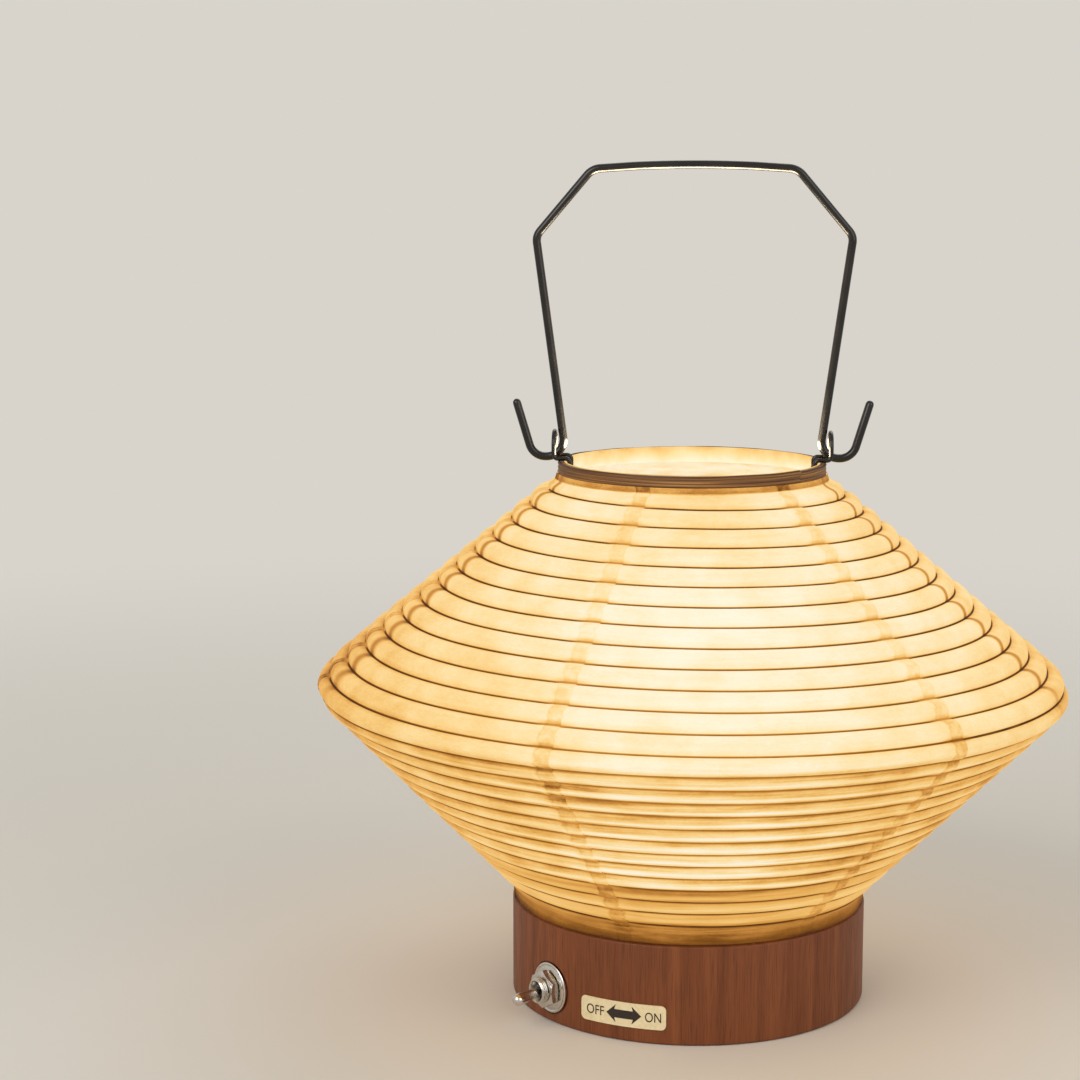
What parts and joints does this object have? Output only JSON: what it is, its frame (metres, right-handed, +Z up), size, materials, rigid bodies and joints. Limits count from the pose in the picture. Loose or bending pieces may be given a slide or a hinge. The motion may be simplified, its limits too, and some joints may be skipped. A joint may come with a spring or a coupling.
{
  "type": "paper table lamp",
  "caption": "Battery table lamp: a folding bead-shaped paper lantern shade over a spiral rib, on a turned wooden base with a toggle switch, carried by a hooked wire bail.",
  "frame": {"origin": "centre of the base's underside, on the surface that the lamp stands on", "axes": "+Z up through the shade's axis to the bail; the bail and the two stays lie in the XZ plane; -Y is the front, with the switch to its left and the label beside it"},
  "size_m": [0.1794, 0.1794, 0.2025],
  "materials": {
    "oiled_cherry": "satin",
    "black_fibreboard": "matte",
    "zinc_plated_steel": "satin",
    "tray_plastic": "matte",
    "cell_jacket": "satin",
    "nickel_spring": "satin",
    "chrome_plate": "polished",
    "phenolic": "matte",
    "tinned_brass": "satin",
    "cream_sticker": "satin",
    "white_solder_mask": "satin",
    "phosphor": "gloss",
    "opal_plastic": "matte",
    "red_lead": "satin",
    "white_lead": "satin",
    "black_lead": "satin",
    "washi_paper": "matte",
    "split_bamboo": "satin",
    "stained_veneer": "satin",
    "black_lacquered_wire": "satin"
  },
  "bodies": {
    "base": {"base_drum": "oiled_cherry", "base_lid": "black_fibreboard", "lid_screw_1": "zinc_plated_steel", "lid_screw_2": "zinc_plated_steel", "lid_screw_3": "zinc_plated_steel", "board_screw_1": "zinc_plated_steel", "board_screw_2": "zinc_plated_steel", "battery_tray": "tray_plastic", "battery_cell_1": "cell_jacket", "battery_cell_2": "cell_jacket", "battery_cell_3": "cell_jacket", "contact_plate_1": "nickel_spring", "contact_plate_2": "nickel_spring", "contact_plate_3": "nickel_spring", "contact_spring_1": "nickel_spring", "contact_spring_2": "nickel_spring", "contact_spring_3": "nickel_spring", "switch_bush": "chrome_plate", "switch_washer": "chrome_plate", "switch_nut": "chrome_plate", "switch_body": "phenolic", "switch_terminal_1": "tinned_brass", "switch_terminal_2": "tinned_brass", "switch_label": "cream_sticker", "led_board": "white_solder_mask", "led_emitter": "phosphor", "led_dome": "opal_plastic", "lead_cells_to_switch": "red_lead", "lead_switch_to_board": "white_lead", "lead_cells_to_board": "black_lead", "paper_panel_1": "washi_paper", "paper_panel_2": "washi_paper", "paper_panel_3": "washi_paper", "paper_panel_4": "washi_paper", "paper_panel_5": "washi_paper", "paper_panel_6": "washi_paper", "rib_spiral": "split_bamboo", "hem_hoop": "stained_veneer", "stay_left": "black_lacquered_wire", "stay_right": "black_lacquered_wire"},
    "mouth": {"mouth_hoop": "stained_veneer"},
    "bail": {"bail": "black_lacquered_wire"},
    "lever": {"switch_lever": "chrome_plate"}
  },
  "joints": [
    {"name": "bail_swing", "type": "hinge", "parent": "base", "child": "bail", "pos_m": [0, 0, 0.1336], "axis": [1, 0, 0], "range_deg": [-90, 90]},
    {"name": "switch_throw", "type": "hinge", "parent": "base", "child": "lever", "pos_m": [-0.03333, -0.02949, 0.0084], "axis": [0, 0, 1], "range_deg": [-26, 0]},
    {"name": "shade_fold", "type": "slide", "parent": "base", "child": "mouth", "axis": [0, 0, -1], "range_m": [0, 0.075], "deforming": ["paper_panel_1", "paper_panel_2", "paper_panel_3", "paper_panel_4", "paper_panel_5", "paper_panel_6", "rib_spiral"]}
  ]
}
